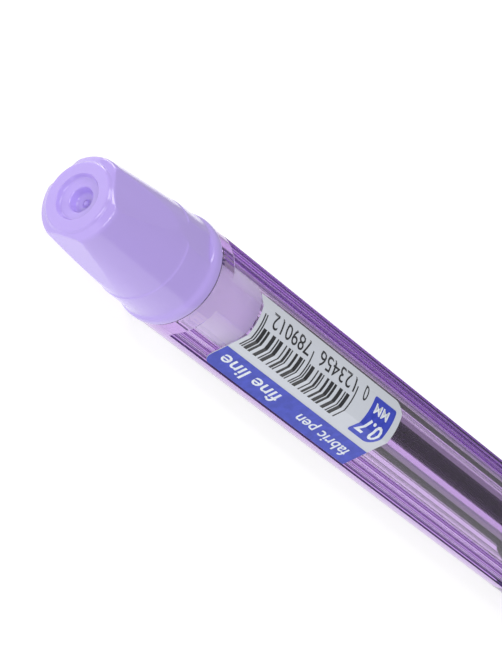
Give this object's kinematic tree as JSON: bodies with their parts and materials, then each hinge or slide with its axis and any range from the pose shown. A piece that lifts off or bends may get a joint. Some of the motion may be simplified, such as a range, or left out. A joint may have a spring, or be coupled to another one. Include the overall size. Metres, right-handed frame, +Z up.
{
  "type": "fabric marking pen",
  "caption": "Slim capped stick pen for marking fabric, with a see-through fluted barrel, an end plug with flats, a grip sleeve and a pocket clip.",
  "frame": {"origin": "under the middle of the pen, on the surface it lies on", "axes": "+X along the pen from the rear plug to the cap's closed end, +Z up through the clip, -Y towards the front"},
  "size_m": [0.149, 0.011, 0.0136],
  "materials": {
    "rear_plug": "gloss",
    "barrel": "clear violet polystyrene, gloss",
    "label": "printed film, satin",
    "refill_tube": "clear polypropylene, satin",
    "ink_column": null,
    "ink_follower": null,
    "point_holder": "satin",
    "metal_point": "turned",
    "tip_ball": "polished carbide",
    "grip_sleeve": "matte",
    "nose_cone": "clear violet polystyrene, gloss",
    "cap_shell": "gloss",
    "cap_inner_cup": "satin",
    "cap_end_plug": "gloss",
    "cap_clip": "gloss"
  },
  "bodies": {
    "pen_body": {"barrel": "barrel", "label": "label", "refill_tube": "refill_tube", "ink_column": "ink_column", "ink_follower": "ink_follower", "point_holder": "point_holder", "metal_point": "metal_point", "grip_sleeve": "grip_sleeve", "nose_cone": "nose_cone"},
    "cap": {"cap_shell": "cap_shell", "cap_inner_cup": "cap_inner_cup", "cap_end_plug": "cap_end_plug"},
    "clip": {"cap_clip": "cap_clip"},
    "ball": {"tip_ball": "tip_ball"},
    "plug": {"rear_plug": "rear_plug"}
  },
  "joints": [
    {"name": "cap_pull", "type": "slide", "parent": "pen_body", "child": "cap", "axis": [1, 0, 0], "range_m": [0, 0.06]},
    {"name": "clip_flex", "type": "hinge", "parent": "cap", "child": "clip", "pos_m": [0.068, 0, 0.0106], "axis": [0, 1, 0], "range_deg": [0, 4], "stiffness_Nm_per_rad": 0.15},
    {"name": "ball_roll", "type": "hinge", "parent": "pen_body", "child": "ball", "pos_m": [0.0635, 0, 0.00555], "axis": [0, 1, 0], "continuous": true},
    {"name": "plug_pull", "type": "slide", "parent": "pen_body", "child": "plug", "axis": [-1, 0, 0], "range_m": [0, 0.008]}
  ]
}
